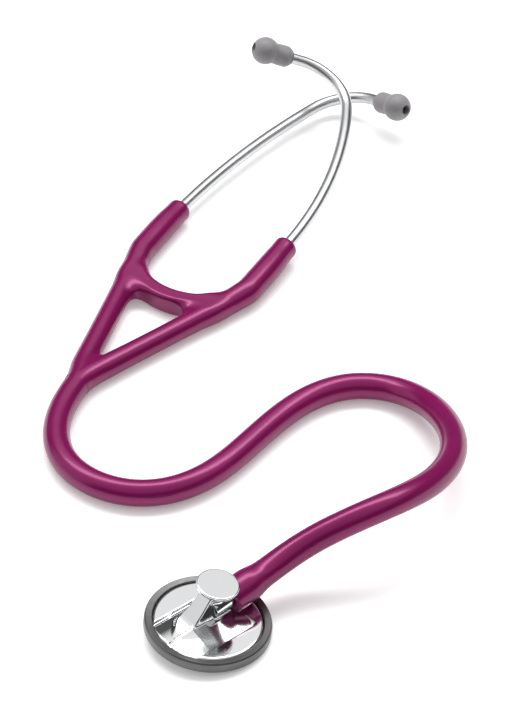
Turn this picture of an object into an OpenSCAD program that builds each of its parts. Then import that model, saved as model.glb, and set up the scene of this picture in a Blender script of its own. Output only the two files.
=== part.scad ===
// Single-sided cardiology stethoscope lying on a table.
// Frame: +Z up, table at z = 0, headset axis along +Y, origin on the table
// under the middle of the object (tubing left out).

/* [Chestpiece] */
// Outer diameter of the rim that holds the diaphragm
rim_d = 50.9; // [49:0.1:53]
// Height of the rim wall
rim_h = 5; // [4.8:0.1:5.2]
// Diameter of the flexible diaphragm
diaphragm_d = 41.2; // [38:0.1:41.3]
// Thickness of the diaphragm
diaphragm_t = 0.4; // [0.3:0.05:0.5]
// Diameter of the flat disc on top of the chestpiece
disc_d = 17.2; // [14:0.1:17.4]
// Height of the top disc above the diaphragm face
disc_z = 21.5; // [21.4:0.1:24]
// Radius of the finger scoops beside the ridge
scoop_r = 9; // [7.5:0.1:9.5]
// Depth of the finger scoops below the plate
scoop_depth = 1; // [0.5:0.1:1.1]
// Thickness of the ridge that runs from the disc to the front edge
ridge_w = 7; // [5:0.1:8]
// Diameter of the sound bore in the chestpiece and stem
sound_d = 3; // [2:0.1:3.4]

/* [Tubing] */
// Outer diameter of the tubing
tube_d = 11.3; // [10.5:0.1:11.3]
// Outer diameter of the tubing where it is stretched over the stem
cuff_d = 13.8; // [12:0.1:13.8]
// Diameter of the lumens in the yoke
lumen_d = 3.2; // [2:0.1:3.4]
// Diameter of the two legs of the yoke
leg_d = 9.6; // [8:0.1:10]
// Width of the crossbar between the legs
bar_w = 6; // [5:0.1:7]
// Height of the crossbar between the legs
bar_h = 9.8; // [8:0.1:10]
// Diameter of the arms at their thick part
arm_d = 11.8; // [10:0.1:12]
// Diameter of the arms at the ear tube sockets
socket_d = 10.7; // [9:0.1:11]

/* [Headset] */
// Outer diameter of the ear tubes
ear_tube_d = 5.2; // [4.6:0.1:5.2]
// Inner diameter of the ear tubes
ear_tube_bore = 3.4; // [2.6:0.1:3.6]
// Largest diameter of the ear tips
ear_tip_d = 12.6; // [11:0.1:13]
// Diameter of the opening in the ear tips
ear_tip_hole = 4.2; // [3:0.1:4.4]
// Thickness of the leaf spring in the crossbar
spring_t = 0.9; // [0.6:0.1:1]

/* [Hidden] */
$fn = 64;

raspberry = [0.50, 0.13, 0.35];
steel = [0.82, 0.83, 0.84];
satin = [0.42, 0.43, 0.44];
grey = [0.52, 0.51, 0.53];

// middle of the chestpiece's contact circle on the table
ox = 73.8; oy = -153.35;
gap = 0.3;          // clearance between moving bodies
fit = 0.05;         // running fit, radial

// ---- chestpiece pose: it leans on one edge of its rim ----
cp_pitch = -3; cp_roll = 4.5; cp_yaw = -15;
rim_r = rim_d / 2;
cp_lift = (rim_r - 0.85) * sqrt(1 - pow(cos(cp_pitch) * cos(cp_roll), 2));
module chest_pose() translate([ox, oy, cp_lift]) rotate([cp_pitch, cp_roll, cp_yaw]) children();
// stem axis, in the chestpiece's own frame: through stem_p, rising by stem_up
stem_p = [0.6, 9.5, 11.3];
stem_up = 9;
// +Z of the children is the stem axis, z = 0 at the end of the tubing
module stem_pose() chest_pose() translate(stem_p) rotate([stem_up - 90, 0, 0]) children();

body_r = rim_r - 3.45;
flange_r = rim_r - 2.45;
plate_z = 4.6;

// ---- yoke and headset places ----
hl = [ox - 151, oy + 172, 5.6];     // left arm's flex axis
hr = [ox - 103, oy + 172, 5.6];     // right arm's flex axis
axis_l = [0, 0, 0];                 // lean of each flex axis (Euler angles)
axis_r = [6.2, -5.7, 0];
bar_x = ox - 127;
bar_sag = 11;
bar_R = (24 * 24 + bar_sag * bar_sag) / (2 * bar_sag);
bar_y = oy + 172 - bar_sag + bar_R;
bar_a = asin(24 / bar_R);
knuckle_r = 6.7;
// arm centre lines: elbow, neck, mouth
arm_l = [[ox - 154.6, oy + 184, 6], [ox - 156.2, oy + 203, 6.1], [ox - 156.8, oy + 218.5, 6.2]];
arm_r = [[ox - 99.6, oy + 184, 6.2], [ox - 100.4, oy + 203, 7.1], [ox - 101.6, oy + 219.5, 8]];
// ear tube bends: [radius 1, angle 1, radius 2, angle 2, lift angle, straight end]
bend_l = [385, 14.3, 19.7, 91.4, 14.2, 1.5];
bend_r = [177, 30.3, 20.9, 95.5, 27.7, 4.1];
lean_l = 1.5; pitch_l = 0.3;
lean_r = 0.1; pitch_r = 6.9;
seat = 8;           // length of ear tube inside the ear tip
core_z = 1.6;       // depth of the ear tip's hard core behind its collar

// ---- route of the main tube, from the stem to the yoke (offsets from the chestpiece) ----
route = [for (p = [
    [9.3, 28.5, 15.3], [13.5, 39.1, 18.1], [19.5, 48.1, 22.6], [26.7, 56.2, 27.1], [33.6, 65.2, 30.2],
    [38.9, 75.6, 30.7], [41.9, 86.8, 29.1], [42.9, 98.1, 26.4], [42, 109.5, 23.6], [39.4, 120.7, 21.2],
    [34.6, 131.1, 18.9], [27.9, 140.4, 16.5], [19.7, 148.4, 13.8], [10.4, 155, 11.1], [-0.1, 159.6, 8.5],
    [-11.5, 161.1, 6.6], [-22.7, 158.1, 5.65], [-31.8, 150.7, 5.65], [-37.9, 140.7, 5.65], [-41.4, 129.5, 5.65],
    [-43.2, 117.9, 5.65], [-44.1, 106.2, 5.65], [-44.8, 94.5, 5.65], [-46, 82.8, 5.65], [-48.7, 71.4, 5.65],
    [-53.7, 60.8, 5.65], [-61.5, 52.1, 5.65], [-71.7, 46.5, 5.65], [-83.3, 44.6, 5.65], [-94.8, 46.3, 5.65],
    [-105.3, 51.6, 5.65], [-113.7, 59.7, 5.65], [-119.8, 69.7, 5.65], [-123.8, 80.7, 5.65], [-126.2, 92, 5.65]])
    [ox + p[0], oy + p[1], p[2]]];
trunk_0 = route[len(route) - 1];
fork = [ox - 127.8, oy + 104, 5.6];

function unit(v) = v / norm(v);

// a rod of radius r between two points
module rod(a, b, r) {
    d = b - a; L = norm(d);
    translate(a) rotate([0, acos(d[2] / L), atan2(d[1], d[0])]) cylinder(h = L, r = r);
}

// ---- sweep of a round section along points ----
function tangent(p, i) = i == 0 ? unit(p[1] - p[0]) : i == len(p) - 1 ? unit(p[i] - p[i - 1]) : unit(unit(p[i + 1] - p[i]) + unit(p[i] - p[i - 1]));
function ring(p, i, r, n) = let (t = tangent(p, i), u = unit(cross([0, 0, 1], t)), v = cross(t, u))
    [for (k = [0 : n - 1]) p[i] + r * (cos(360 * k / n) * u + sin(360 * k / n) * v)];
module sweep(p, r, n) {
    m = len(p);
    pts = [for (i = [0 : m - 1]) each ring(p, i, r, n)];
    sides = [for (i = [0 : m - 2], k = [0 : n - 1]) let (a = i * n + k, b = i * n + (k + 1) % n) each
        [[a, a + n, b + n], [a, b + n, b]]];
    caps = [[for (k = [0 : n - 1]) k], [for (k = [n - 1 : -1 : 0]) (m - 1) * n + k]];
    polyhedron(points = pts, faces = concat(sides, caps));
}

// ---- chestpiece ----
module ridge_side() {
    // side outline of the ridge, y along the stem, z up
    polygon([[2, 3], [2, disc_z - 3.2], [-0.5, disc_z - 3.6], [-2, 15.6], [-3.5, 12.8], [-5, 10.6], [-6.5, 8.4],
             [-8, 6.6], [-9.5, 5.5], [-11, 4.9], [-13, plate_z], [-13, 3]]);
}
module chestpiece_body() color(steel) chest_pose() difference() {
    union() {
        difference() {
            union() {
                translate([0, 0, 1.4]) cylinder(r = flange_r, h = 1.65);
                translate([0, 0, 2.5]) cylinder(r = body_r, h = plate_z - 2.5);
            }
            // finger scoops, open to the front
            for (s = [-1, 1]) translate([s * (scoop_r - 0.5), -24, plate_z - scoop_depth + scoop_r])
                rotate([-90, 0, 0]) cylinder(r = scoop_r, h = 38.5);
        }
        // ridge
        translate([-ridge_w / 2 - 0.6, 0, 0]) rotate([90, 0, 90]) linear_extrude(ridge_w) ridge_side();
        // neck
        translate([-0.3, 3.6, 2.5]) cylinder(r = 4.4, h = disc_z - 4.4);
        translate([-0.3, 3.6, 2.8]) cylinder(r1 = 7.2, r2 = 4.4, h = 4.5);
        // boss round the stem
        translate(stem_p) rotate([stem_up - 90, 0, 0]) translate([0, 0, -9]) cylinder(r = 5.6, h = 8.6);
        // top disc
        translate([-0.7, 3.9, disc_z]) rotate([-3.1, 3.6, 0]) translate([0, 0, -1.8]) cylinder(d = disc_d, h = 1.8);
    }
    // bell under the diaphragm
    translate([0, 0, 1.3]) cylinder(r1 = 19.6, r2 = 2.4, h = 0.9);
    translate([0, 0, 1]) cylinder(d = sound_d, h = 9);
    // seat of the stem
    translate(stem_p) rotate([stem_up - 90, 0, 0]) translate([0, 0, -7]) cylinder(r = 2.6, h = 10);
    translate(stem_p) rotate([stem_up - 90, 0, 0]) translate([0, 0, -10]) cylinder(d = sound_d, h = 5);
}
module chestpiece_stem() color(steel) stem_pose() difference() {
    union() {
        translate([0, 0, -7]) cylinder(r = 2.6, h = 22);
        translate([0, 0, 2]) cylinder(r1 = 2.6, r2 = 3.7, h = 1.5);
        translate([0, 0, 3.5]) cylinder(r1 = 3.7, r2 = 3.0, h = 3);
        translate([0, 0, 8]) cylinder(r1 = 2.6, r2 = 3.7, h = 1.5);
        translate([0, 0, 9.5]) cylinder(r1 = 3.7, r2 = 2.6, h = 4);
    }
    translate([0, 0, -8]) cylinder(d = sound_d, h = 24);
}
module diaphragm_rim() color(satin) chest_pose() rotate_extrude() polygon([
    [rim_r - 3.9, 0.1], [rim_r - 3.2, 0], [rim_r - 0.85, 0], [rim_r, 0.85], [rim_r, rim_h - 1.3],
    [rim_r - 0.3, rim_h - 0.5], [rim_r - 0.75, rim_h], [rim_r - 3.05, rim_h - 0.3], [rim_r - 3.42, rim_h - 0.6],
    [rim_r - 3.42, 3.08], [rim_r - 2.42, 3.08], [rim_r - 2.42, 0.9], [rim_r - 3.9, 0.9]]);
module suspension_ring() color([0.12, 0.12, 0.13]) chest_pose() rotate_extrude() polygon([
    [diaphragm_d / 2 + fit, 0.15], [rim_r - 4.0, 0.15], [rim_r - 4.0, 0.9], [rim_r - 2.5, 0.9],
    [rim_r - 2.5, 1.4], [rim_r - 4.4, 1.4], [diaphragm_d / 2 + fit, 1.05]]);
module diaphragm() color([0.9, 0.9, 0.88]) chest_pose() cylinder(d = diaphragm_d, h = diaphragm_t);

// ---- tubing ----
module tube_stem_cuff() color(raspberry) stem_pose() difference() {
    rotate_extrude() polygon([[0, 0], [cuff_d / 2 - 0.6, 0], [cuff_d / 2 - 0.15, 0.3], [cuff_d / 2, 1], [cuff_d / 2, 9.5],
        [cuff_d / 2 - 0.25, 11.5], [cuff_d / 2 - 0.75, 13.5], [tube_d / 2 + 0.15, 16], [tube_d / 2, 18.5], [tube_d / 2, 20], [0, 20]]);
    // the stretched bore follows the barbs
    translate([0, 0, -1]) cylinder(r = 2.6 + fit, h = 16.5);
    translate([0, 0, 1.9]) cylinder(r1 = 2.6 + fit, r2 = 3.7 + fit, h = 1.6);
    translate([0, 0, 3.5]) cylinder(r1 = 3.7 + fit, r2 = 3.0 + fit, h = 3.05);
    translate([0, 0, 7.9]) cylinder(r1 = 2.6 + fit, r2 = 3.7 + fit, h = 1.6);
    translate([0, 0, 9.5]) cylinder(r1 = 3.7 + fit, r2 = 2.6 + fit, h = 4.1);
    translate([0, 0, 15]) cylinder(d = lumen_d, h = 6);
}
module main_tube() color(raspberry) sweep(route, tube_d / 2, 12);

// sweeps a flat section along the sagging crossbar, a degrees to each side
module bar_arc(a) translate([bar_x, bar_y, 5.6]) rotate([0, 0, 270 - a]) rotate_extrude(angle = 2 * a)
    translate([bar_R, 0]) children();
module bar_section() polygon([for (p = [[-1, -0.55], [-0.72, -0.85], [-0.3, -1], [0.3, -1], [0.72, -0.85], [1, -0.55],
    [1, 0.55], [0.72, 0.85], [0.3, 1], [-0.3, 1], [-0.72, 0.85], [-1, 0.55]]) [p[0] * bar_w / 2, p[1] * bar_h / 2]]);
module spring_section() translate([-spring_t / 2, -2.7]) square([spring_t, 5.4]);
module yoke() color(raspberry) difference() {
    union() {
        // trunk, widening into the fork
        rod(trunk_0, fork, tube_d / 2);
        translate(fork) sphere(r = tube_d / 2 - 0.05);
        for (s = [-1, 1]) rod(fork, fork + [s * 4.6, 4, -0.1], 5.1);
        // legs
        rod(fork + [-4.6, 4, -0.1], hl, leg_d / 2);
        rod(fork + [4.6, 4, -0.1], hr, leg_d / 2);
        // crossbar
        bar_arc(bar_a) bar_section();
    }
    // room for the flexing arms
    translate(hl) rotate(axis_l) translate([0, 0, -10]) cylinder(r = knuckle_r + gap, h = 20);
    translate(hr) rotate(axis_r) translate([0, 0, -10]) cylinder(r = knuckle_r + gap, h = 20);
    // slot for the leaf spring, open into both joints
    bar_arc(bar_a + 2) spring_section();
    // lumens
    rod(trunk_0 - unit(fork - trunk_0), fork, lumen_d / 2);
    translate(fork) sphere(r = lumen_d / 2 + 0.4);
    rod(fork, hl, lumen_d / 2 - 0.1);
    rod(fork, hr, lumen_d / 2 - 0.1);
}
module leaf_spring() color(steel) bar_arc(35) spring_section();

// +Y of the children runs out of the arm's mouth, +X is inward
module mouth_l() translate(arm_l[2]) rotate([pitch_l, 0, lean_l]) children();
module mouth_r() translate(arm_r[2]) rotate([pitch_r, 0, lean_r]) mirror([1, 0, 0]) children();

module arm(h, lean, a) {
    // knuckle of the flexing zone
    translate(h) rotate(lean) rotate_extrude() polygon([[0, -4.6], [5.2, -4.6], [knuckle_r, -3.2],
        [knuckle_r, 3.2], [5.2, 4.6], [0, 4.6]]);
    rod(h, a[0], arm_d / 2 - 0.4);
    translate(a[0]) sphere(d = arm_d + 0.1);
    rod(a[0], a[1], arm_d / 2);
    translate(a[1]) sphere(d = arm_d + 0.1);
    rod(a[1], a[2], socket_d / 2);
}
module arm_lumen(h, a) {
    rod(h, a[0], lumen_d / 2);
    translate(a[0]) sphere(r = lumen_d / 2 + 0.3);
    rod(a[0], a[1], lumen_d / 2 - 0.1);
}
module socket_bore() {
    translate([0, -14, 0]) rotate([-90, 0, 0]) cylinder(d = ear_tube_d, h = 20);
    translate([0, -18, 0]) rotate([-90, 0, 0]) cylinder(d = ear_tube_d + 1.8, h = 12);
}
module yoke_arm_left() color(raspberry) difference() {
    arm(hl, axis_l, arm_l);
    mouth_l() socket_bore();
    arm_lumen(hl, arm_l);
}
module yoke_arm_right() color(raspberry) difference() {
    arm(hr, axis_r, arm_r);
    mouth_r() socket_bore();
    arm_lumen(hr, arm_r);
}
module ferrule() translate([0, -18, 0]) rotate([-90, 0, 0]) difference() {
    cylinder(d = ear_tube_d + 1.8, h = 12);
    translate([0, 0, -1]) cylinder(d = ear_tube_d, h = 14);
}
module spring_ferrule_left() color(steel) mouth_l() ferrule();
module spring_ferrule_right() color(steel) mouth_r() ferrule();

// ---- ear tubes: a wide bend, a tight bend that also lifts, a short straight end ----
module tube_ring() difference() { circle(d = ear_tube_d); circle(d = ear_tube_bore); }
module after_wide(b) translate([b[0] * (1 - cos(b[1])), b[0] * sin(b[1]), 0]) rotate([0, 0, -b[1]]) rotate([0, -b[4], 0]) children();
module after_tight(b) after_wide(b) translate([b[2] * (1 - cos(b[3])), b[2] * sin(b[3]), 0]) rotate([0, 0, -b[3]]) children();
// burnished band where one bend ends and the next begins
module band() translate([0, -0.5, 0]) rotate([-90, 0, 0]) difference() {
    cylinder(d = ear_tube_d + 0.08, h = 1);
    translate([0, 0, -1]) cylinder(d = ear_tube_bore - 0.08, h = 3);
}
module ear_tube(b) {
    translate([0, -18, 0]) rotate([-90, 0, 0]) linear_extrude(18) tube_ring();
    band();
    translate([b[0], 0, 0]) rotate([0, 0, 180 - b[1]]) rotate_extrude(angle = b[1], $fn = 320) translate([b[0], 0]) tube_ring($fn = 64);
    after_wide(b) band();
    after_wide(b) translate([b[2], 0, 0]) rotate([0, 0, 180 - b[3]]) rotate_extrude(angle = b[3]) translate([b[2], 0]) tube_ring();
    after_tight(b) band();
    after_tight(b) rotate([-90, 0, 0]) difference() {
        union() {
            cylinder(d = ear_tube_d, h = b[5] + seat);
            // snap ridge
            translate([0, 0, b[5] + seat - 3.2]) cylinder(d1 = ear_tube_d, d2 = ear_tube_d + 0.7, h = 1);
            translate([0, 0, b[5] + seat - 2.2]) cylinder(d1 = ear_tube_d + 0.7, d2 = ear_tube_d, h = 1);
        }
        translate([0, 0, -1]) cylinder(d = ear_tube_bore, h = b[5] + seat + 2);
    }
}
module ear_tube_left() color(steel) mouth_l() ear_tube(bend_l);
module ear_tube_right() color(steel) mouth_r() ear_tube(bend_r);

// +Z of the children runs out of the ear tube, z = 0 at the ear tip's collar
module tip_l() mouth_l() after_tight(bend_l) translate([0, bend_l[5], 0]) rotate([-90, 0, 0]) children();
module tip_r() mouth_r() after_tight(bend_r) translate([0, bend_r[5], 0]) rotate([-90, 0, 0]) children();
module ear_tip() {
    R = ear_tip_d / 2;
    difference() {
        union() {
            // rounded collar and waist
            rotate_extrude() polygon([[0, 0], [3.25, 0], [3.5, 0.65], [3.85, 1.3], [4.2, 2], [4.5, 2.75], [4.75, 3.6], [4.9, 4.6], [4.92, 6.4], [4.85, 8.4], [4.85, 11], [0, 11]]);
            // bulb, cut flat at the end
            intersection() {
                translate([0, 0, 14.2]) sphere(r = R);
                translate([0, 0, 7]) cylinder(r = R + 1, h = 13.05);
            }
        }
        translate([0, 0, 8]) cylinder(d = ear_tip_hole, h = 14);
        translate([0, 0, core_z]) cylinder(d = ear_tube_d + 1.9, h = seat + 1 - core_z);
        translate([0, 0, -1]) cylinder(d = ear_tube_d + 2 * gap, h = core_z + 2);
    }
}
module ear_tip_core() difference() {
    translate([0, 0, core_z]) cylinder(d = ear_tube_d + 1.9, h = seat + 1 - core_z);
    translate([0, 0, -1]) cylinder(d = ear_tube_d + 2 * fit, h = seat + 1.3);
    // groove for the snap ridge
    translate([0, 0, seat - 3.3]) cylinder(d1 = ear_tube_d + 2 * fit, d2 = ear_tube_d + 0.7 + 2 * fit, h = 1.1);
    translate([0, 0, seat - 2.2]) cylinder(d1 = ear_tube_d + 0.7 + 2 * fit, d2 = ear_tube_d + 2 * fit, h = 1.1);
    translate([0, 0, seat]) cylinder(d = ear_tip_hole, h = 4);
}
module ear_tip_left() color(grey) tip_l() ear_tip();
module ear_tip_right() color(grey) tip_r() ear_tip();
module ear_tip_core_left() color([0.3, 0.3, 0.31]) tip_l() ear_tip_core();
module ear_tip_core_right() color([0.3, 0.3, 0.31]) tip_r() ear_tip_core();

chestpiece_body();
chestpiece_stem();
diaphragm_rim();
suspension_ring();
diaphragm();
tube_stem_cuff();
main_tube();
yoke();
leaf_spring();
yoke_arm_left();
yoke_arm_right();
spring_ferrule_left();
spring_ferrule_right();
ear_tube_left();
ear_tube_right();
ear_tip_core_left();
ear_tip_core_right();
ear_tip_left();
ear_tip_right();
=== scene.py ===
import bpy, math
import numpy as np
from mathutils import Matrix, Vector


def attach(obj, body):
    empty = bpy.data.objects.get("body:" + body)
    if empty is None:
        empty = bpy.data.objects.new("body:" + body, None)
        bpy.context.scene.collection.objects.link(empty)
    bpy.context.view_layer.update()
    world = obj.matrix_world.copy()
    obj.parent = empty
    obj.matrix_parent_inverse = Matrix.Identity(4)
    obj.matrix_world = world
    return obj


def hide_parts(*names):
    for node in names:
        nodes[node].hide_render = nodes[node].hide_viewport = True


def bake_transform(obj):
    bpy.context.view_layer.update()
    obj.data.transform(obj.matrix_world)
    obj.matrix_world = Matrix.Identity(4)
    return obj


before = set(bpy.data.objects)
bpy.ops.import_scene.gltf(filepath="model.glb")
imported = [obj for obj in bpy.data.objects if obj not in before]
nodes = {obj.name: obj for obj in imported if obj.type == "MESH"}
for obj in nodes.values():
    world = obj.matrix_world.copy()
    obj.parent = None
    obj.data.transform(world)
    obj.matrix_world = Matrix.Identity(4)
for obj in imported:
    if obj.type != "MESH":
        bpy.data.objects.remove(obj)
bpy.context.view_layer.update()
scene = bpy.context.scene

# All pieces below are written in millimetres from the middle of the chestpiece's contact circle,
# and moved by S into the row frame.
S = np.array([73.8, -153.35, 0.0])


def row(p):
    return (np.asarray(p, float) + S) * 0.001


# ---------------------------------------------------------------- camera
cam_data = bpy.data.cameras.new("camera")
cam = bpy.data.objects.new("camera", cam_data)
scene.collection.objects.link(cam)
eye = Vector(row([636.9, -959.2, 1079.9]))
aim = Vector(row([-75.9, 151.1, 0.0]))
cam.location = eye
cam.rotation_euler = (aim - eye).to_track_quat("-Z", "Y").to_euler()
cam_data.sensor_fit = "AUTO"
cam_data.sensor_width = 36.0
cam_data.lens = 36.0 * 4000.0 / 724.0
cam_data.clip_start = 0.05
cam_data.clip_end = 20.0
scene.camera = cam


# ---------------------------------------------------------------- small maths
def unit(v):
    v = np.asarray(v, float)
    return v / np.linalg.norm(v)


def rot(rx, ry, rz):
    a, b, c = np.radians([rx, ry, rz])
    X = np.array([[1, 0, 0], [0, math.cos(a), -math.sin(a)], [0, math.sin(a), math.cos(a)]])
    Y = np.array([[math.cos(b), 0, math.sin(b)], [0, 1, 0], [-math.sin(b), 0, math.cos(b)]])
    Z = np.array([[math.cos(c), -math.sin(c), 0], [math.sin(c), math.cos(c), 0], [0, 0, 1]])
    return Z @ Y @ X


# chestpiece pose, as in the CAD
RIM_R = 25.45
CR = rot(-3, 4.5, -15)
LIFT = (RIM_R - 0.85) * math.sqrt(1 - (math.cos(math.radians(3)) * math.cos(math.radians(4.5))) ** 2)
CT = np.array([0, 0, LIFT])
STEM_P = CT + CR @ np.array([0.6, 9.5, 11.3])
STEM_M = CR @ rot(9 - 90, 0, 0)
STEM_D = STEM_M @ np.array([0, 0, 1.0])


def new_object(name, verts, faces, normals=None, material=None, smooth=True):
    """verts in millimetres from the chestpiece's contact point."""
    me = bpy.data.meshes.new(name)
    me.from_pydata([tuple(v) for v in row(verts)], [], [tuple(int(i) for i in f) for f in faces])
    me.validate()
    if smooth:
        me.polygons.foreach_set("use_smooth", [True] * len(me.polygons))
    if normals is not None:
        me.normals_split_custom_set_from_vertices([tuple(n) for n in normals])
    me.update()
    ob = bpy.data.objects.new(name, me)
    scene.collection.objects.link(ob)
    if material is not None:
        me.materials.append(material)
    return ob


# ---------------------------------------------------------------- materials
def material(name, color, metallic=0.0, roughness=0.4, **sockets):
    m = bpy.data.materials.new(name)
    m.use_nodes = True
    nt = m.node_tree
    bsdf = nt.nodes["Principled BSDF"]
    bsdf.inputs["Base Color"].default_value = (*color, 1)
    bsdf.inputs["Metallic"].default_value = metallic
    bsdf.inputs["Roughness"].default_value = roughness
    for k, v in sockets.items():
        bsdf.inputs[k.replace("_", " ")].default_value = v
    return m, nt, bsdf


def node(nt, kind, **inputs):
    n = nt.nodes.new(kind)
    for k, v in inputs.items():
        n.inputs[k.replace("_", " ")].default_value = v
    return n


def noise(nt, scale, detail=3.0, rough=0.5, stretch=None):
    tc = nt.nodes.new("ShaderNodeTexCoord")
    n = node(nt, "ShaderNodeTexNoise", Scale=scale, Detail=detail, Roughness=rough)
    if stretch is None:
        nt.links.new(tc.outputs["Object"], n.inputs["Vector"])
    else:
        mp = nt.nodes.new("ShaderNodeMapping")
        mp.inputs["Scale"].default_value = stretch
        nt.links.new(tc.outputs["Object"], mp.inputs["Vector"])
        nt.links.new(mp.outputs["Vector"], n.inputs["Vector"])
    return n.outputs["Fac"]


def ramp(nt, source, lo, hi, c0, c1):
    r = nt.nodes.new("ShaderNodeValToRGB")
    r.color_ramp.elements[0].position = lo
    r.color_ramp.elements[1].position = hi
    r.color_ramp.elements[0].color = c0 if len(c0) == 4 else (*c0, 1)
    r.color_ramp.elements[1].color = c1 if len(c1) == 4 else (*c1, 1)
    nt.links.new(source, r.inputs["Fac"])
    return r.outputs["Color"]


def bump(nt, bsdf, source, strength, distance):
    b = node(nt, "ShaderNodeBump", Strength=strength, Distance=distance)
    nt.links.new(source, b.inputs["Height"])
    nt.links.new(b.outputs["Normal"], bsdf.inputs["Normal"])


def grey(v):
    return (v, v, v)


def make_tubing():
    m, nt, b = material("raspberry_tubing", (0.18, 0.005, 0.075), 0.0, 0.2, Coat_Weight=0.0, Coat_Roughness=0.12,
                        Subsurface_Weight=0.0, Specular_IOR_Level=1.0, Specular_Tint=(1.0, 0.32, 0.64, 1))
    c = ramp(nt, noise(nt, 35, 4), 0.35, 0.7, (0.17, 0.0045, 0.070), (0.19, 0.0055, 0.080))
    nt.links.new(c, b.inputs["Base Color"])
    r = ramp(nt, noise(nt, 260, 4), 0.3, 0.75, grey(0.20), grey(0.25))
    nt.links.new(r, b.inputs["Roughness"])
    # the sheen is strongest where the surface faces the eye
    lw = node(nt, "ShaderNodeLayerWeight", Blend=0.5)
    mr = nt.nodes.new("ShaderNodeMapRange")
    for k, v in (("From Min", 0.35), ("From Max", 0.9), ("To Min", 1.0), ("To Max", 0.1)):
        mr.inputs[k].default_value = v
    nt.links.new(lw.outputs["Facing"], mr.inputs["Value"])
    nt.links.new(mr.outputs["Result"], b.inputs["Specular IOR Level"])
    bump(nt, b, noise(nt, 420, 3), 0.05, 0.0002)
    return m


def make_steel():
    m, nt, b = material("polished_steel", (0.80, 0.81, 0.82), 1.0, 0.05)
    r = ramp(nt, noise(nt, 90, 3, 0.5), 0.35, 0.75, grey(0.085), grey(0.115))
    nt.links.new(r, b.inputs["Roughness"])
    c = ramp(nt, noise(nt, 14, 3), 0.3, 0.7, (0.78, 0.79, 0.80), (0.83, 0.84, 0.845))
    nt.links.new(c, b.inputs["Base Color"])
    bump(nt, b, noise(nt, 300, 2), 0.006, 0.00005)
    return m


def make_rim():
    m, nt, b = material("satin_grey_rim", (0.135, 0.135, 0.135), 0.85, 0.36)
    c = ramp(nt, noise(nt, 120, 4), 0.3, 0.75, (0.125, 0.126, 0.126), (0.148, 0.149, 0.149))
    nt.links.new(c, b.inputs["Base Color"])
    r = ramp(nt, noise(nt, 900, 3, 0.6), 0.3, 0.7, grey(0.30), grey(0.40))
    nt.links.new(r, b.inputs["Roughness"])
    bump(nt, b, noise(nt, 2600, 2), 0.05, 0.00004)
    return m


def make_alloy():
    m, nt, b = material("satin_alloy", (0.60, 0.61, 0.62), 1.0, 0.2)
    r = ramp(nt, noise(nt, 90, 3, 0.5), 0.3, 0.7, grey(0.29), grey(0.34))
    nt.links.new(r, b.inputs["Roughness"])
    c = ramp(nt, noise(nt, 60, 3), 0.3, 0.7, (0.58, 0.59, 0.60), (0.63, 0.635, 0.645))
    nt.links.new(c, b.inputs["Base Color"])
    bump(nt, b, noise(nt, 240, 2), 0.006, 0.00004)
    return m


def make_tip():
    m, nt, b = material("soft_grey_tip", (0.25, 0.24, 0.26), 0.0, 0.52, Subsurface_Weight=0.0, Sheen_Weight=0.15, Sheen_Roughness=0.4)
    c = ramp(nt, noise(nt, 180, 4), 0.3, 0.75, (0.225, 0.217, 0.232), (0.275, 0.265, 0.28))
    nt.links.new(c, b.inputs["Base Color"])
    r = ramp(nt, noise(nt, 700, 3), 0.3, 0.7, grey(0.45), grey(0.6))
    nt.links.new(r, b.inputs["Roughness"])
    bump(nt, b, noise(nt, 1800, 3), 0.15, 0.0001)
    return m


def make_plain(name, color, metallic, rough, scale, depth):
    m, nt, b = material(name, color, metallic, rough)
    lo = tuple(0.88 * x for x in color)
    hi = tuple(min(1.0, 1.1 * x) for x in color)
    nt.links.new(ramp(nt, noise(nt, scale, 4), 0.3, 0.75, lo, hi), b.inputs["Base Color"])
    nt.links.new(ramp(nt, noise(nt, scale * 3, 3), 0.3, 0.7, grey(max(0.02, rough - 0.08)), grey(rough + 0.08)), b.inputs["Roughness"])
    bump(nt, b, noise(nt, scale * 5, 3), 0.1, depth)
    return m


TUBING = make_tubing()
STEEL = make_steel()
RIM = make_rim()
ALLOY = make_alloy()
TIP = make_tip()
FILM = make_plain("diaphragm_film", (0.62, 0.60, 0.54), 0.0, 0.35, 600, 0.00002)
BLACK = make_plain("black_ring", (0.02, 0.02, 0.02), 0.0, 0.55, 500, 0.00004)
SPRING = make_plain("spring_steel", (0.55, 0.55, 0.56), 1.0, 0.32, 300, 0.00003)
CORE = make_plain("core_plastic", (0.12, 0.12, 0.125), 0.0, 0.45, 400, 0.00003)

for n, m in (("diaphragm", FILM), ("suspension_ring", BLACK), ("leaf_spring", SPRING), ("spring_ferrule_left", SPRING),
             ("spring_ferrule_right", SPRING), ("ear_tip_core_left", CORE), ("ear_tip_core_right", CORE),
             ("chestpiece_stem", STEEL)):
    o = nodes[n]
    o.data.materials.clear()
    o.data.materials.append(m)

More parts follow.
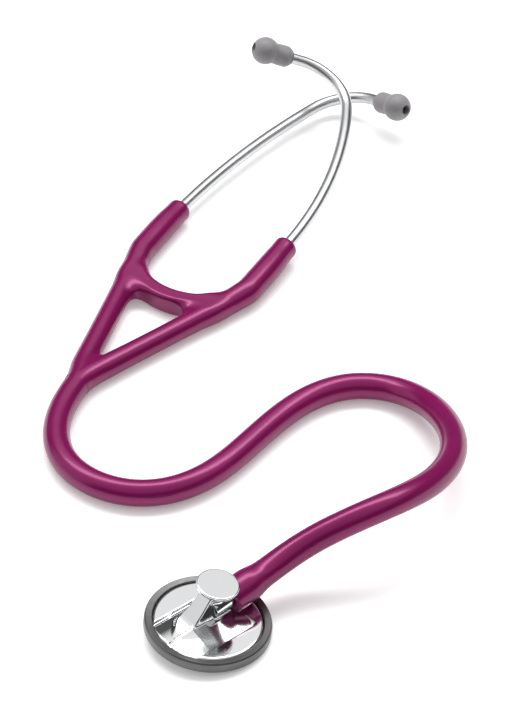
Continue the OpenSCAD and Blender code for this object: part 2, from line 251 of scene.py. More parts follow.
# ---------------------------------------------------------------- main tube
ROUTE = [(9.3, 28.5, 15.3), (13.5, 39.1, 18.1), (19.5, 48.1, 22.6), (26.7, 56.2, 27.1), (33.6, 65.2, 30.2),
         (38.9, 75.6, 30.7), (41.9, 86.8, 29.1), (42.9, 98.1, 26.4), (42, 109.5, 23.6), (39.4, 120.7, 21.2),
         (34.6, 131.1, 18.9), (27.9, 140.4, 16.5), (19.7, 148.4, 13.8), (10.4, 155, 11.1), (-0.1, 159.6, 8.5),
         (-11.5, 161.1, 6.6), (-22.7, 158.1, 5.65), (-31.8, 150.7, 5.65), (-37.9, 140.7, 5.65), (-41.4, 129.5, 5.65),
         (-43.2, 117.9, 5.65), (-44.1, 106.2, 5.65), (-44.8, 94.5, 5.65), (-46, 82.8, 5.65), (-48.7, 71.4, 5.65),
         (-53.7, 60.8, 5.65), (-61.5, 52.1, 5.65), (-71.7, 46.5, 5.65), (-83.3, 44.6, 5.65), (-94.8, 46.3, 5.65),
         (-105.3, 51.6, 5.65), (-113.7, 59.7, 5.65), (-119.8, 69.7, 5.65), (-123.8, 80.7, 5.65), (-126.2, 92, 5.65)]
TUBE_R = 5.65
SEAM = np.array([-126.2, 92, 5.65])
FORK = np.array([-127.8, 104, 5.6])
SEAM_D = unit(FORK - SEAM)


def smooth_line(points, before, after, step=0.8, stiff=900.0):
    """A smooth line through the points: least squares with a penalty on the change of curvature."""
    pts = np.vstack([before, points, after])
    s = np.concatenate([[0], np.cumsum(np.linalg.norm(np.diff(pts, axis=0), axis=1))])
    n = int(s[-1] / step) + 1
    grid = np.linspace(0, s[-1], n)
    h = grid[1] - grid[0]
    A = np.zeros((len(pts), n))
    for k, v in enumerate(s):
        i = min(int(v / h), n - 2)
        f = v / h - i
        A[k, i], A[k, i + 1] = 1 - f, f
    w = np.ones(len(pts))
    w[:len(before)] = 60
    w[-len(after):] = 60
    D = np.zeros((n - 3, n))
    for k, c in enumerate((-1, 3, -3, 1)):
        D[np.arange(n - 3), np.arange(n - 3) + k] = c
    D /= h ** 3
    K = A.T @ (w[:, None] * A) + stiff * h * (D.T @ D)
    X = np.linalg.solve(K, A.T @ (w[:, None] * pts))
    return X


before = [STEM_P + STEM_D * t for t in (0, 4, 8, 12, 16)]
after = [SEAM + SEAM_D * t for t in (3, 6, 9)]
line = smooth_line(np.array(ROUTE), np.array(before), np.array(after))
line[:, 2] = np.maximum(line[:, 2], TUBE_R)
# keep the part between the stem's barb and the seam
i1 = int(np.argmin(np.abs((line - SEAM) @ SEAM_D) + 1e3 * (np.linalg.norm(line - SEAM, axis=1) > 6)))
line = line[:i1 + 1]
line[0] = STEM_P
arc = np.concatenate([[0], np.cumsum(np.linalg.norm(np.diff(line, axis=0), axis=1))])
TUBE_LENGTH = float(arc[-1])


def at(s):
    return np.stack([np.interp(s, arc, line[:, k]) for k in range(3)], -1)


def frames(pts, first):
    """Rotation-minimising frames along a line."""
    T = np.gradient(pts, axis=0)
    T /= np.linalg.norm(T, axis=1)[:, None]
    u = first - T[0] * (first @ T[0])
    u = unit(u)
    U = [u]
    for i in range(1, len(pts)):
        v = U[-1] - T[i] * (U[-1] @ T[i])
        U.append(unit(v))
    U = np.array(U)
    return T, U, np.cross(T, U)


def lofted(pts, radius, sides, first, cap0=None, cap1=None, slope=None):
    """A round skin round a line, with its exact normals. radius is one per ring."""
    T, U, V = frames(pts, first)
    a = np.arange(sides) * 2 * np.pi / sides
    ring = np.cos(a)[None, :, None] * U[:, None, :] + np.sin(a)[None, :, None] * V[:, None, :]
    P = pts[:, None, :] + radius[:, None, None] * ring
    ds = np.concatenate([[0], np.cumsum(np.linalg.norm(np.diff(pts, axis=0), axis=1))])
    dr = np.gradient(radius, ds) if slope is None else slope
    N = ring - dr[:, None, None] * T[:, None, :]
    N /= np.linalg.norm(N, axis=2)[:, :, None]
    m = len(pts)
    faces = [(i * sides + k, i * sides + (k + 1) % sides, (i + 1) * sides + (k + 1) % sides, (i + 1) * sides + k)
             for i in range(m - 1) for k in range(sides)]
    return P.reshape(-1, 3), faces, N.reshape(-1, 3)


# profile of the tube's end over the stem: station along the line, radius
CUFF = [(0, 6.35), (0.12, 6.6), (0.35, 6.78), (0.8, 6.88), (1.5, 6.9), (5, 6.92), (9, 6.9), (10.5, 6.84), (12, 6.66), (13.5, 6.38),
        (15, 6.08), (16.5, 5.86), (18, 5.72), (20, 5.66), (22, 5.65)]


def cuff_radius(s):
    xs = np.array([c[0] for c in CUFF], float)
    ys = np.array([c[1] for c in CUFF], float)
    return np.interp(s, xs, ys)


st = np.concatenate([[0, 0.06, 0.12, 0.22, 0.35, 0.55, 0.8, 1.1, 1.5], np.arange(2.2, 22, 0.7), np.arange(22.5, TUBE_LENGTH - 0.5, 1.3), [TUBE_LENGTH]])
dense = np.linspace(0, 24, 481)
rad_dense = cuff_radius(dense)
ker = np.exp(-0.5 * (np.arange(-20, 21) * 0.05 / 0.45) ** 2)
ker /= ker.sum()
pad = np.concatenate([np.full(20, rad_dense[-1])])
sm = np.convolve(np.concatenate([np.full(20, 6.9), rad_dense, pad]), ker, "same")[20:-20]
sm = np.where(dense < 1.6, rad_dense, sm)
radius = np.where(st < 24, np.interp(st, dense, sm), TUBE_R)
pts = at(st)
V0, F0, N0 = lofted(pts, radius, 44, np.array([0, 0, 1.0]))
# inward face of the cuff's end, round the stem
T0 = STEM_D
ring_r = [6.35, 6.0, 4.8, 3.6, 2.9]
base = len(V0)
extra, en = [], []
U0 = unit(np.array([0, 0, 1.0]) - T0 * T0[2])
W0 = np.cross(T0, U0)
for j, r in enumerate(ring_r):
    for k in range(44):
        a = 2 * np.pi * k / 44
        d = math.cos(a) * U0 + math.sin(a) * W0
        dip = 0.0 if j < 2 else (0.15 if j == 2 else 0.25)
        extra.append(STEM_P + d * r + T0 * (-0.10 + dip if j else 0.0))
        en.append(-T0)
faces = list(F0)
for j in range(len(ring_r) - 1):
    for k in range(44):
        a, b = base + j * 44 + k, base + j * 44 + (k + 1) % 44
        c, d = base + (j + 1) * 44 + (k + 1) % 44, base + (j + 1) * 44 + k
        faces.append((a, d, c, b))
V1 = np.vstack([V0, extra])
N1 = np.vstack([N0, en])
hose = new_object("main_tube_skin", V1, faces, N1, TUBING)
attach(hose, "tubing")
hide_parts("main_tube", "tube_stem_cuff")
path = [tuple(row(p)) for p in at(np.linspace(0, TUBE_LENGTH, 130))]
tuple(path[0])


# ---------------------------------------------------------------- implicit surfaces
def smin(a, b, k):
    h = np.clip(0.5 + 0.5 * (b - a) / k, 0, 1)
    return b + (a - b) * h - k * h * (1 - h)


def smax(a, b, k):
    return -smin(-a, -b, k)


def capsule(p, a, b, ra, rb):
    a, b = np.asarray(a, float), np.asarray(b, float)
    d = b - a
    h = np.clip((p - a) @ d / (d @ d), 0, 1)
    return np.linalg.norm(p - a - h[:, None] * d, axis=1) - (ra + (rb - ra) * h)


def surface(f, lo, hi, h, relax=3):
    """Skin of f < 0: surface nets on a grid, then each point is moved onto f = 0."""
    ax = [np.arange(l, u + h, h) for l, u in zip(lo, hi)]
    shape = tuple(len(a) for a in ax)
    G = np.stack(np.meshgrid(*ax, indexing="ij"), -1).reshape(-1, 3)
    V = np.concatenate([f(G[i:i + 400000]) for i in range(0, len(G), 400000)]).reshape(shape)
    inside = V < 0
    corners = [(i, j, k) for i in (0, 1) for j in (0, 1) for k in (0, 1)]
    cut = lambda A, c: A[c[0]:A.shape[0] - 1 + c[0], c[1]:A.shape[1] - 1 + c[1], c[2]:A.shape[2] - 1 + c[2]]
    some = np.zeros(tuple(s - 1 for s in shape), bool)
    every = np.ones_like(some)
    for c in corners:
        q = cut(inside, c)
        some |= q
        every &= q
    mask = some & ~every
    index = np.full(mask.shape, -1)
    cells = np.argwhere(mask)
    index[mask] = np.arange(len(cells))
    vals = {c: V[cells[:, 0] + c[0], cells[:, 1] + c[1], cells[:, 2] + c[2]] for c in corners}
    acc = np.zeros((len(cells), 3))
    cnt = np.zeros(len(cells))
    for c in corners:
        for axis in range(3):
            if c[axis] == 0:
                d = list(c)
                d[axis] = 1
                va, vb = vals[c], vals[tuple(d)]
                cross = (va < 0) != (vb < 0)
                t = np.where(cross, va / np.where(cross, va - vb, 1), 0)
                q = np.array(c, float)[None, :] + np.zeros((len(cells), 3))
                q[:, axis] += t
                acc += np.where(cross[:, None], q, 0)
                cnt += cross
    P = (cells + acc / cnt[:, None]) * h + np.array([a[0] for a in ax])
    faces = []
    for axis in range(3):
        b, c = (axis + 1) % 3, (axis + 2) % 3
        lo_ = [slice(None)] * 3
        hi_ = [slice(None)] * 3
        lo_[axis], hi_[axis] = slice(0, -1), slice(1, None)
        A, B = inside[tuple(lo_)], inside[tuple(hi_)]
        change = np.argwhere(A != B)
        ok = (change[:, b] > 0) & (change[:, c] > 0) & (change[:, b] < mask.shape[b]) & (change[:, c] < mask.shape[c])
        change = change[ok]
        flip = inside[change[:, 0], change[:, 1], change[:, 2]]
        q = []
        for db, dc in ((0, 0), (-1, 0), (-1, -1), (0, -1)):
            e = change.copy()
            e[:, b] += db
            e[:, c] += dc
            q.append(index[e[:, 0], e[:, 1], e[:, 2]])
        q = np.stack(q, 1)
        q[~flip] = q[~flip][:, ::-1]
        faces.append(q)
    F = np.vstack(faces)
    F = F[(F >= 0).all(1)]

    def grad(p, e=0.02):
        g = np.zeros_like(p)
        for k in range(3):
            d = np.zeros(3)
            d[k] = e
            g[:, k] = (f(p + d) - f(p - d)) / (2 * e)
        return g

    def project(p, n):
        for _ in range(n):
            g = grad(p)
            step = (f(p) / np.maximum((g * g).sum(1), 0.05))[:, None] * g
            ln = np.linalg.norm(step, axis=1)
            step *= np.minimum(1, 0.5 * h / np.maximum(ln, 1e-9))[:, None]
            p = p - step
        return p

    P = project(P, 4)
    edges = np.vstack([F[:, [0, 1]], F[:, [1, 2]], F[:, [2, 3]], F[:, [3, 0]]])
    for _ in range(relax):
        m = np.zeros_like(P)
        c = np.zeros(len(P))
        for a, b in ((0, 1), (1, 0)):
            np.add.at(m, edges[:, a], P[edges[:, b]])
            np.add.at(c, edges[:, a], 1)
        P = project(0.5 * P + 0.5 * m / np.maximum(c, 1)[:, None], 2)
    P = project(P, 2)
    N = grad(P)
    N /= np.maximum(np.linalg.norm(N, axis=1), 1e-9)[:, None]
    return P, F, N


def used(P, F, N):
    keep = np.unique(F)
    back = np.full(len(P), -1)
    back[keep] = np.arange(len(keep))
    return P[keep], back[F], N[keep]


def clip_mesh(P, F, N, point, normal):
    """Keeps the side of the plane that normal points to; faces on the plane are cut cleanly."""
    d = (P - np.asarray(point, float)) @ unit(normal)
    P, N, d = list(P), list(N), list(d)
    made = {}
    out = []

    def cut(i, j):
        key = (min(i, j), max(i, j))
        if key not in made:
            t = d[i] / (d[i] - d[j])
            P.append(P[i] + t * (P[j] - P[i]))
            n = N[i] + t * (N[j] - N[i])
            N.append(n / np.linalg.norm(n))
            d.append(0.0)
            made[key] = len(P) - 1
        return made[key]

    for f in F:
        if all(d[i] >= 0 for i in f):
            out.append(tuple(f))
            continue
        if all(d[i] <= 0 for i in f):
            continue
        poly = []
        for a in range(len(f)):
            i, j = f[a], f[(a + 1) % len(f)]
            if d[i] >= 0:
                poly.append(i)
            if (d[i] > 0 and d[j] < 0) or (d[i] < 0 and d[j] > 0):
                poly.append(cut(i, j))
        if len(poly) >= 3:
            out.append(tuple(poly))
    P, N = np.array(P), np.array(N)
    keep = np.unique(np.concatenate([np.array(f) for f in out]))
    back = np.full(len(P), -1)
    back[keep] = np.arange(len(keep))
    return P[keep], [tuple(back[i] for i in f) for f in out], N[keep]


# ---------------------------------------------------------------- yoke with its two arms
HL = np.array([-151, 172, 5.6])
HR = np.array([-103, 172, 5.6])
ARM_L = [HL, np.array([-154.6, 184, 6.0]), np.array([-156.2, 203, 6.1]), np.array([-156.8, 218.5, 6.2])]
ARM_R = [HR, np.array([-99.6, 184, 6.2]), np.array([-100.4, 203, 7.1]), np.array([-101.6, 219.5, 8.0])]
MOUTH_L = rot(0.3, 0, 1.5)
MOUTH_R = rot(6.9, 0, 0.1) @ np.diag([-1.0, 1, 1])
BAR_X, BAR_SAG = -127.0, 11.0
BAR_R = (24 * 24 + BAR_SAG ** 2) / (2 * BAR_SAG)
BAR_Y = 172 - BAR_SAG + BAR_R


def limb_table(rows, sigma=1.6):
    """Stations of a limb along Y: middle in X and Z and radius, softened."""
    t = np.array(rows, float)
    y = np.arange(t[0, 0], t[-1, 0], 0.25)
    out = [y]
    k = np.arange(-24, 25) * 0.25
    w = np.exp(-0.5 * (k / sigma) ** 2)
    w /= w.sum()
    for c in (1, 2, 3):
        v = np.interp(y, t[:, 0], t[:, c])
        v0, v1 = v[1] - v[0], v[-1] - v[-2]
        pad = np.concatenate([v[0] + v0 * np.arange(-24, 0), v, v[-1] + v1 * np.arange(1, 25)])
        out.append(np.convolve(pad, w, "valid"))
    out.append(np.gradient(out[1], y))
    return out


TRUNK_ROWS = [(70, -123.27, 5.65, 5.65), (90, -125.94, 5.65, 5.65)]
LIMB_L = limb_table(TRUNK_ROWS + [(95, -126.9, 5.65, 5.62), (98, -128.1, 5.62, 5.52), (101, -129.5, 5.6, 5.42), (104, -130.9, 5.55, 5.3),
                                  (108, -132.4, 5.5, 5.15), (121, -136.2, 5.52, 4.95), (146, -143.5, 5.56, 4.85),
                                  (164, -148.7, 5.6, 5.0), (172, -151.0, 5.6, 5.3), (184, -154.6, 6.0, 5.75), (198, -155.8, 6.08, 5.78),
                                  (207, -156.4, 6.15, 5.62), (213, -156.6, 6.18, 5.3), (218, -156.8, 6.2, 5.35), (236, -157.3, 6.3, 5.35)], 1.8)
LIMB_R = limb_table(TRUNK_ROWS + [(95, -126.3, 5.65, 5.62), (98, -126.0, 5.62, 5.52), (101, -125.3, 5.6, 5.42), (104, -124.6, 5.55, 5.3),
                                  (108, -123.2, 5.5, 5.15), (121, -119.1, 5.52, 4.95), (146, -111.2, 5.56, 4.85),
                                  (164, -105.5, 5.6, 5.0), (172, -103.0, 5.6, 5.3), (184, -99.6, 6.2, 5.75), (198, -100.1, 6.85, 5.78),
                                  (207, -100.6, 7.3, 5.62), (213, -101.1, 7.65, 5.3), (219, -101.5, 8.0, 5.35), (236, -102.5, 9.8, 5.35)], 1.8)


def limb(p, t):
    """Distance in plan from a limb's middle line, the height over it, and its radius."""
    y = p[:, 1]
    x, z, r, dx = (np.interp(y, t[0], t[k]) for k in (1, 2, 3, 4))
    return np.abs(p[:, 0] - x) / np.sqrt(1 + dx * dx), p[:, 2] - z, r


def mouth_end(p, d, a, M):
    """Rounded mouth with the hole for the ear tube."""
    q = (p - a[3]) @ M
    d = smax(d, q[:, 1], 2.6)
    hole = np.linalg.norm(q[:, [0, 2]], axis=1) - 2.68
    hole = np.maximum(hole, -4.0 - q[:, 1])
    return smax(d, -hole, 0.5)


def yoke_shape(p):
    # the limbs and the crossbar are joined in plan, so their webs are wide and their tops stay level
    al, zl, rl = limb(p, LIMB_L)
    ar, zr, rr = limb(p, LIMB_R)
    t = np.clip((p[:, 1] - 94.0) / 16.0, 0, 1)
    t = t * t * (3 - 2 * t)
    on_left = p[:, 0] < BAR_X
    z, r = np.where(on_left, zl, zr), np.where(on_left, rl, rr)
    limbs = smin(al, ar, 0.05 + 4.5 * t) - r
    x, y = p[:, 0] - BAR_X, p[:, 1] - BAR_Y
    ang = np.arctan2(x, -y)
    lim = math.asin(24 / BAR_R) * 0.70
    a = np.clip(ang, -lim, lim)
    across = np.hypot(x - BAR_R * np.sin(a), y + BAR_R * np.cos(a)) - 3.9
    w = np.clip(0.5 + 0.5 * (limbs - across) / WEB, 0, 1)
    w = np.where(p[:, 1] < 135, 0, w)
    plan = np.where(p[:, 1] < 135, limbs, smin(limbs, across, WEB))
    # edges are fully round on the limbs and tighter on the crossbar
    e = r * (1 - w) + 1.9 * w
    h = r - 0.15 * w
    d = np.hypot(np.maximum(plan + e, 0), np.maximum(np.abs(z) - (h - e), 0)) - e
    return np.where(on_left, mouth_end(p, d, ARM_L, MOUTH_L), mouth_end(p, d, ARM_R, MOUTH_R))


WEB = 9.0
VOX = 0.75
YP, YF, YN = surface(yoke_shape, (-166, 82, -2.2), (-90, 226, 16.5), VOX)
YP, YF, YN = clip_mesh(YP, YF, YN, SEAM, SEAM_D)
YP[:, 2] = np.maximum(YP[:, 2], 0.02)
cut_y = 148.0
mid = BAR_X
a_, b_, c_ = clip_mesh(YP, YF, YN, (0, cut_y, 0), (0, -1, 0))
core = new_object("yoke_trunk_skin", a_, b_, c_, TUBING)
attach(core, "tubing")
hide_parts("yoke")
up = clip_mesh(YP, YF, YN, (0, cut_y, 0), (0, 1, 0))
for side, sgn, h, arm, body in (("left", -1, HL, ARM_L, "arm_left"), ("right", 1, HR, ARM_R, "arm_right")):
    a_, b_, c_ = clip_mesh(*up, (mid, 0, 0), (sgn, 0, 0))
    ob = new_object("yoke_half_" + side, a_, b_, c_, TUBING)
    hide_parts("yoke_arm_" + side)
    s_ = h + np.array([-sgn * 8.0, -11, 0])
    e_ = h + np.array([sgn * 5.0, 11, 0])
    tuple(row(s_))
    tuple(row(e_))
    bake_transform(ob)

# ---------------------------------------------------------------- ear tubes and tips
BEND_L = (385, 14.3, 19.7, 91.4, 14.2, 1.5)
BEND_R = (177, 30.3, 20.9, 95.5, 27.7, 4.1)


def ear_line(b, M, o):
    """Centre line of an ear tube, from inside its socket to inside its tip, and the frame at the tip's collar."""
    pts = [o + M @ np.array([0, y, 0]) for y in np.linspace(-16, 0, 9)]
    t1 = math.radians(b[1])
    for t in np.linspace(0, t1, 56)[1:]:
        pts.append(o + M @ np.array([b[0] * (1 - math.cos(t)), b[0] * math.sin(t), 0]))
    o = o + M @ np.array([b[0] * (1 - math.cos(t1)), b[0] * math.sin(t1), 0])
    M = M @ rot(0, 0, -b[1]) @ rot(0, -b[4], 0)
    t2 = math.radians(b[3])
    for t in np.linspace(0, t2, 34)[1:]:
        pts.append(o + M @ np.array([b[2] * (1 - math.cos(t)), b[2] * math.sin(t), 0]))
    o = o + M @ np.array([b[2] * (1 - math.cos(t2)), b[2] * math.sin(t2), 0])
    M = M @ rot(0, 0, -b[3])
    for y in np.linspace(0, b[5] + 8, 9)[1:]:
        pts.append(o + M @ np.array([0, y, 0]))
    return np.array(pts), M, o + M @ np.array([0, b[5], 0])


def tube_mesh(pts, ro, ri, sides, first):
    """A hollow tube with flat ends."""
    m = len(pts)
    Vo, Fo, No = lofted(pts, np.full(m, ro), sides, first)
    Vi, Fi, Ni = lofted(pts, np.full(m, ri), sides, first)
    faces = list(Fo) + [tuple(np.array(f)[::-1] + len(Vo)) for f in Fi]
    for i, rev in ((0, False), (m - 1, True)):
        for k in range(sides):
            a, b = i * sides + k, i * sides + (k + 1) % sides
            q = (a, a + len(Vo), b + len(Vo), b)
            faces.append(q[::-1] if rev else q)
    return np.vstack([Vo, Vi]), faces, np.vstack([No, -Ni])


def lathe(profile, M, o, sides, closed=False):
    """Turns a profile of (radius, height) about the frame's Y axis; o is its origin. Returns points, faces and outward normals."""
    pr = np.array(profile, float)
    m = len(pr)
    a = np.arange(sides) * 2 * np.pi / sides
    P = np.stack([pr[:, 0][:, None] * np.cos(a), np.repeat(pr[:, 1][:, None], sides, 1), pr[:, 0][:, None] * np.sin(a)], -1)
    if closed:
        tang = np.roll(pr, -1, 0) - np.roll(pr, 1, 0)
    else:
        tang = np.gradient(pr, axis=0)
    nr, nh = tang[:, 1], -tang[:, 0]
    ln = np.hypot(nr, nh)
    nr, nh = nr / ln, nh / ln
    N = np.stack([nr[:, None] * np.cos(a), np.repeat(nh[:, None], sides, 1), nr[:, None] * np.sin(a)], -1)
    faces = []
    for i in range(m if closed else m - 1):
        j = (i + 1) % m
        for k in range(sides):
            k2 = (k + 1) % sides
            faces.append((i * sides + k, j * sides + k, j * sides + k2, i * sides + k2))
    return P.reshape(-1, 3) @ M.T + o, faces, N.reshape(-1, 3) @ M.T


def fine(profile, closed, step):
    """A rounded, evenly sampled copy of a profile given as corners with a fillet radius: (radius, height, fillet)."""
    pr = [np.array(q[:2], float) for q in profile]
    out = []
    n = len(pr)
    for i in range(n):
        f = profile[i][2]
        if f <= 0 or (not closed and i in (0, n - 1)):
            out.append(pr[i])
            continue
        a, b, c = pr[i - 1], pr[i], pr[(i + 1) % n]
        u, v = unit(a - b), unit(c - b)
        cosang = float(np.clip(u @ v, -1, 1))
        ang = math.acos(cosang)
        if ang > math.radians(176):
            out.append(b)
            continue
        dist = min(f / math.tan(ang / 2), 0.49 * np.linalg.norm(a - b), 0.49 * np.linalg.norm(c - b))
        r = dist * math.tan(ang / 2)
        cen = b + unit(u + v) * r / math.sin(ang / 2)
        s, e = b + u * dist, b + v * dist
        a0, a1 = math.atan2(*(s - cen)[::-1]), math.atan2(*(e - cen)[::-1])
        da = (a1 - a0 + math.pi) % (2 * math.pi) - math.pi
        k = max(3, int(abs(da) / math.radians(12)) + 1)
        for t in np.linspace(0, 1, k):
            out.append(cen + r * np.array([math.cos(a0 + da * t), math.sin(a0 + da * t)]))
    dense = []
    m = len(out)
    for i in range(m if closed else m - 1):
        p, q = out[i], out[(i + 1) % m]
        k = max(1, int(np.linalg.norm(q - p) / step))
        for t in range(k):
            dense.append(p + (q - p) * t / k)
    if not closed:
        dense.append(out[-1])
    return [tuple(x) for x in dense]


# ear tip, from the collar to the rounded end and back down the hole; radius, height along the tube, fillet
TIP_PROFILE = [(2.62, 1.6, 0), (2.7, 0.72, 0.15)]
TIP_PROFILE += [(4.95 * math.cos(t), 4.6 - 4.0 * math.sin(t), 0) for t in np.radians([56, 46, 37, 28, 20, 12, 5])]
TIP_PROFILE += [(4.93, 5.4, 0), (4.91, 6.6, 0), (4.87, 7.9, 0), (4.82, 9.1, 0.5), (4.93, 10.0, 0.6)]
TIP_PROFILE += [(6.3 * math.cos(t), 14.2 + 6.3 * math.sin(t), 0) for t in np.radians([-36, -29, -22, -15, -8, 0, 8, 15, 22, 29, 36, 43, 50, 57, 63])]
TIP_PROFILE += [(2.6, 20.05, 0.35), (2.1, 20.0, 0.25), (2.05, 18.6, 0), (2.05, 9.2, 0)]

for side, b, M, mouth, body, tip_body in (("left", BEND_L, MOUTH_L, ARM_L[3], "arm_left", "tip_left"),
                                          ("right", BEND_R, MOUTH_R, ARM_R[3], "arm_right", "tip_right")):
    pts_, M2, collar = ear_line(b, M, mouth)
    v_, f_, n_ = tube_mesh(pts_, 2.6, 1.7, 32, np.array([0, 0, 1.0]))
    ob = new_object("ear_tube_skin_" + side, v_, f_, n_, ALLOY)
    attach(ob, body)
    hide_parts("ear_tube_" + side)
    v_, f_, n_ = lathe(fine(TIP_PROFILE, False, 0.35), M2, collar, 56)
    if np.linalg.det(M2) < 0:
        f_ = [q[::-1] for q in f_]
    ob = new_object("ear_tip_skin_" + side, v_, f_, n_, TIP)
    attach(ob, tip_body)
    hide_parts("ear_tip_" + side)

# ---------------------------------------------------------------- chestpiece
# rim: turned ring, profile radius and height in the chestpiece's frame
RIM_PROFILE = [(21.55, 0.1, 0.1), (22.25, 0.0, 0.1), (24.6, 0.0, 0.5), (25.45, 0.85, 0.6), (25.45, 3.6, 0.9), (25.2, 4.5, 0.5),
               (24.7, 5.02, 0.14), (22.42, 4.72, 0.12), (22.1, 4.4, 0.1), (22.06, 3.2, 0.05), (23.0, 3.1, 0.05), (23.0, 0.9, 0.05), (21.55, 0.9, 0.05)]
LATHE_M = CR @ rot(90, 0, 0)     # the lathe's Y becomes the chestpiece's Z
v_, f_, n_ = lathe(fine(RIM_PROFILE, True, 0.5), LATHE_M, CT, 192, closed=True)
rim = new_object("rim_skin", v_, f_, n_, RIM)
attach(rim, "chestpiece")
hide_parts("diaphragm_rim")

DISC_C = np.array([-0.7, 3.9, 21.5])
DISC_M = rot(-3.1, 3.6, 0)
STEM_LM = rot(9 - 90, 0, 0)
# ridge: station y, top height, left side, right side at its foot
RIDGE = np.array([(-30, 3.8, 0.0, 4.4), (-21, 4.35, 0.0, 4.4), (-19, 4.6, -1.5, 4.4), (-17, 4.85, -3.2, 4.1), (-15, 5.05, -4.8, 3.5),
                  (-13, 5.3, -6.4, 2.8), (-11, 5.65, -8.0, 2.2), (-9.5, 6.1, -8.8, 1.9), (-8, 7.0, -8.7, 1.7), (-6.5, 8.7, -8.0, 1.6),
                  (-5, 10.8, -7.2, 1.5), (-3.5, 12.9, -6.8, 1.5), (-2, 15.6, -6.6, 1.6), (0, 17.9, -6.5, 1.8), (2, 19.2, -6.6, 2.0),
                  (5, 19.2, -6.4, 2.4), (30, 19.2, -6.4, 2.4)])


def rounded_cylinder(q, r, h0, h1, e):
    """About z, from h0 to h1, with edges rounded by e."""
    a = np.hypot(q[:, 0], q[:, 1]) - (r - e)
    b = np.abs(q[:, 2] - (h0 + h1) / 2) - ((h1 - h0) / 2 - e)
    return np.minimum(np.maximum(a, b), 0) + np.hypot(np.maximum(a, 0), np.maximum(b, 0)) - e


def smooth_interp(y, xs, ys):
    """Smoothed linear interpolation."""
    out = 0
    for o, w in ((-1.2, 0.15), (-0.6, 0.22), (0, 0.26), (0.6, 0.22), (1.2, 0.15)):
        out = out + w * np.interp(y + o, xs, ys)
    return out


def chest_shape(p):
    plate = rounded_cylinder(p, 22.0, 1.9, 4.6, 1.3)
    ax = np.abs(p[:, 0])
    y = p[:, 1]
    # finger scoops: floors that fall away from the ridge, with a step at their outer side and their back
    fade = np.clip((y + 18.0) / 8.0, 0, 1) * np.clip((14.0 - y) / 6.0, 0, 1)
    t = np.clip(13.1 - p[:, 0], 0, 11.5)
    dished = 3.35 + 0.10 * t + 0.0135 * t * t * fade
    floor = np.where(p[:, 0] > 0, dished, 4.75 - (ax - 2.5) * 0.165)
    wall = smax(np.where(p[:, 0] > 0, ax - 13.1, ax - 11.9), y - 13.9, 1.5)
    scoop = smax(wall, (floor - p[:, 2]) * 0.992, 0.6)
    body = smax(plate, -scoop, 0.45)
    # the right scoop is dished up against the ridge
    dish = np.maximum(np.maximum(p[:, 2] - dished, 1.9 - p[:, 2]), np.maximum(0.5 - p[:, 0], p[:, 0] - 12.6))
    dish = np.maximum(dish, np.maximum(y - 13.4, np.hypot(p[:, 0], y) - 21.4)) * 0.9
    body = np.minimum(body, dish)
    # ridge: a flat top with a crisp right edge and a wide rounded left shoulder
    top, left, right = (smooth_interp(y, RIDGE[:, 0], RIDGE[:, k]) for k in (1, 2, 3))
    up = np.clip((p[:, 2] - 4.0) / np.maximum(top - 4.0, 1.0), 0, 1)
    right = right + (np.minimum(right, 1.2) - right) * up * np.clip((4.0 - y) / 3.0, 0, 1)
    slope = 0.62
    r = smax(p[:, 0] - right, (p[:, 2] - top) * slope, 0.7)
    r = smax(r, left - p[:, 0], 2.4)
    r = smax(r, y - 10.5, 1.0)
    under_boss = np.where(y > 4.0, p[:, 2] - (9.0 + 0.16 * (y - 4)), -9.0)
    ridge = np.maximum(r, under_boss * 0.6)
    ridge = np.maximum(ridge, 1.95 - p[:, 2])
    # neck and boss
    q = p - np.array([-2.0, 3.6, 0])
    neck = np.hypot(q[:, 0], q[:, 1]) - 4.4
    neck = np.maximum(neck, np.maximum(1.95 - p[:, 2], p[:, 2] - 19.6))
    post = smin(ridge, neck, 0.8)
    s = (p - np.array([0.6, 9.5, 11.3])) @ STEM_LM
    boss = np.maximum(np.hypot(s[:, 0], s[:, 1]) - 3.7, np.abs(s[:, 2] + 4.6) - 4.2)
    post = smin(post, boss, 1.0)
    body = smin(body, post, 0.7)
    body = np.maximum(body, np.hypot(p[:, 0], p[:, 1]) - 22.0)
    # top disc
    disc = rounded_cylinder((p - DISC_C) @ DISC_M, 8.6, -1.8, 0, 0.55)
    body = smin(body, disc, 1.2)
    under = rounded_cylinder(p, 22.95, 1.42, 3.0, 0.1)
    return np.minimum(body, under)


CV = 0.33
CP, CF, CN = surface(chest_shape, (-24.5, -24.5, 0.4), (24.5, 24.5, 23.6), CV, relax=2)
chest = new_object("chestpiece_skin", CP @ CR.T + CT, CF, CN @ CR.T, STEEL)
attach(chest, "chestpiece")
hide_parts("chestpiece_body")

# ---------------------------------------------------------------- studio
fl, nt, b = material("studio_floor", (0.93, 0.93, 0.93), 0.0, 0.6)
nt.links.new(ramp(nt, noise(nt, 3, 2), 0.3, 0.7, grey(0.925), grey(0.935)), b.inputs["Base Color"])
b.inputs["Emission Color"].default_value = (1, 1, 1, 1)
b.inputs["Emission Strength"].default_value = 0.26
me = bpy.data.meshes.new("studio_floor")
q = 6.0
me.from_pydata([(-q, -q, 0), (q, -q, 0), (q, q, 0), (-q, q, 0)], [], [(0, 1, 2, 3)])
me.materials.append(fl)
floor = bpy.data.objects.new("studio_floor", me)
scene.collection.objects.link(floor)


def area(name, place, target, size, power, color=(1, 1, 1), size_y=None):
    d = bpy.data.lights.new(name, "AREA")
    d.shape = "RECTANGLE"
    d.size = size
    d.size_y = size_y or size
    d.energy = power
    d.color = color
    o = bpy.data.objects.new(name, d)
    scene.collection.objects.link(o)
    o.location = place
    o.rotation_euler = (Vector(target) - Vector(place)).to_track_quat("-Z", "Y").to_euler()
    return o


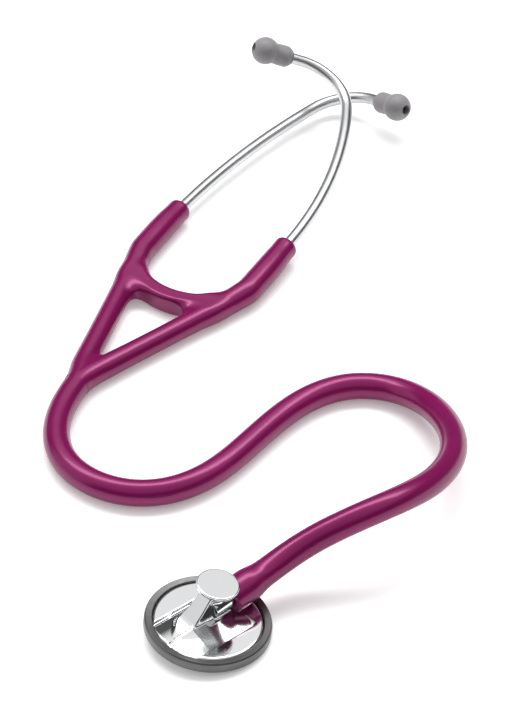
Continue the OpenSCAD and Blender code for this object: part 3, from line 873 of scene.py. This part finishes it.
toward_cam = unit(np.array([636.9 + 75.9, -959.2 - 151.1, 0]))
right = np.array([-toward_cam[1], toward_cam[0], 0])     # to the right in the picture


def place(r, f, z):
    """A point r to the right in the picture, f towards the camera and z up, in metres."""
    v = right * r + toward_cam * f
    return (float(v[0]), float(v[1]), z)


area("strip", place(0.0, -1.12, 2.7), (0, 0, 0), 4.0, 64, size_y=1.0)
soft = area("soft", place(0.0, -1.6, 2.4), (0, 0, 0), 2.2, 30, size_y=1.6)
soft.visible_glossy = False
world = bpy.data.worlds.new("studio")
scene.world = world
world.use_nodes = True
wt = world.node_tree
bg = wt.nodes["Background"]
tc = wt.nodes.new("ShaderNodeTexCoord")
sep = wt.nodes.new("ShaderNodeSeparateXYZ")
wt.links.new(tc.outputs["Generated"], sep.inputs["Vector"])
cr = wt.nodes.new("ShaderNodeValToRGB")
els = cr.color_ramp.elements
els[0].position, els[0].color = 0.0, (0.30, 0.30, 0.31, 1)
els[1].position, els[1].color = 1.0, (0.95, 0.95, 0.95, 1)
for pos, v in ((0.02, 0.05), (0.53, 0.06), (0.655, 0.86), (0.72, 0.95)):
    e = els.new(pos)
    e.color = (v, v, v, 1)
wt.links.new(sep.outputs["Z"], cr.inputs["Fac"])


def toward(v):
    """How far the looked-at direction points along v."""
    d = wt.nodes.new("ShaderNodeVectorMath")
    d.operation = "DOT_PRODUCT"
    d.inputs[1].default_value = tuple(float(x) for x in unit(v))
    wt.links.new(tc.outputs["Generated"], d.inputs[0])
    return d.outputs["Value"]


def curve(source, stops):
    r = wt.nodes.new("ShaderNodeMapRange")
    r.interpolation_type = "SMOOTHSTEP"
    for k, v in zip(("From Min", "From Max", "To Min", "To Max"), stops):
        r.inputs[k].default_value = v
    wt.links.new(source, r.inputs["Value"])
    return r.outputs["Result"]


def math_node(op, a, b):
    m = wt.nodes.new("ShaderNodeMath")
    m.operation = op
    wt.links.new(a, m.inputs[0])
    wt.links.new(b, m.inputs[1])
    return m.outputs["Value"]


# darker sky on the camera's side, and a pale card on the left
sky = math_node("MULTIPLY", cr.outputs["Color"], curve(toward(toward_cam), (-0.2, 0.6, 1.0, 0.6)))
card = curve(toward(-right + np.array([0, 0, 0.42])), (0.86, 0.92, 0.0, 0.80))
wt.links.new(math_node("MAXIMUM", sky, card), bg.inputs["Color"])
bg.inputs["Strength"].default_value = 1.0
scene.view_settings.view_transform = "Standard"
